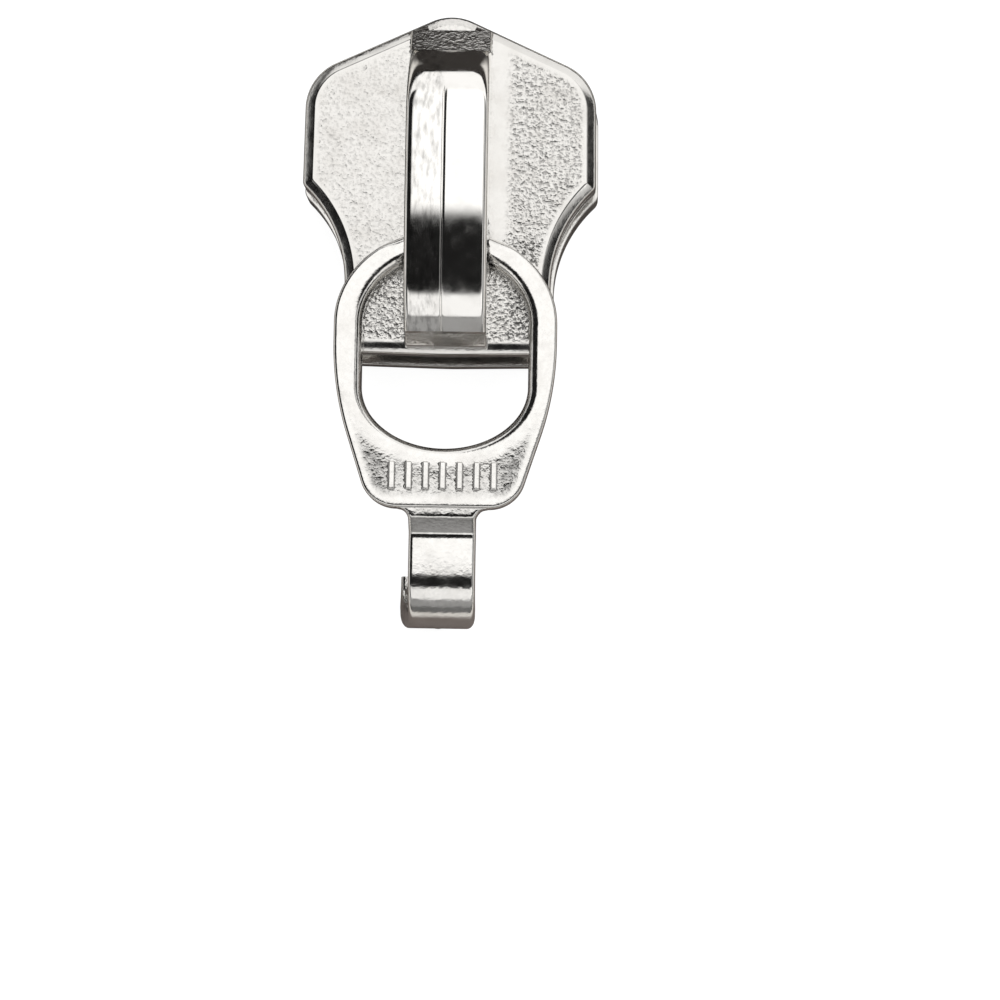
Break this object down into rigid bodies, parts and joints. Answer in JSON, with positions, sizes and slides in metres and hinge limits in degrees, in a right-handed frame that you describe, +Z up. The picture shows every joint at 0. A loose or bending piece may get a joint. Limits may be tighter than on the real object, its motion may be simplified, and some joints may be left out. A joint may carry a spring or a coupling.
{
  "type": "zipper slider",
  "caption": "Metal zip-fastener slider with a locking pawl under a crown cover and a ring-shaped pull tab that ends in an open hook.",
  "frame": {"origin": "centre of the lower wing's flat underside", "axes": "+Z up, away from the lower wing; +Y to the front, where the two open chains enter; +X to the right seen from above"},
  "size_m": [0.016, 0.033, 0.0099],
  "materials": {
    "cast_nickel": "bright nickel plate over die-cast zinc, with cast orange peel on the flat faces",
    "polished_nickel": "bright nickel plate, polished",
    "pawl_steel": "tumbled stamped steel",
    "spring_steel": "drawn spring wire",
    "tab_nickel": "bright nickel plate over die-cast zinc, polished rims and a matt cast recess"
  },
  "bodies": {
    "slider": {"slider_body": "cast_nickel", "crown_cover": "polished_nickel", "pawl_spring": "spring_steel"},
    "pawl": {"lock_pawl": "pawl_steel"},
    "tab": {"pull_tab": "tab_nickel"}
  },
  "joints": [
    {"name": "pawl_lift", "type": "hinge", "parent": "slider", "child": "pawl", "pos_m": [0, 0.0057, 0.00665], "axis": [-1, 0, 0], "range_deg": [0, 4], "stiffness_Nm_per_rad": 0.02, "deforming": ["pawl_spring"]},
    {"name": "tab_swing", "type": "hinge", "parent": "pawl", "child": "tab", "pos_m": [0, -0.00362, 0.00656], "axis": [-1, 0, 0], "range_deg": [0, 155]}
  ]
}
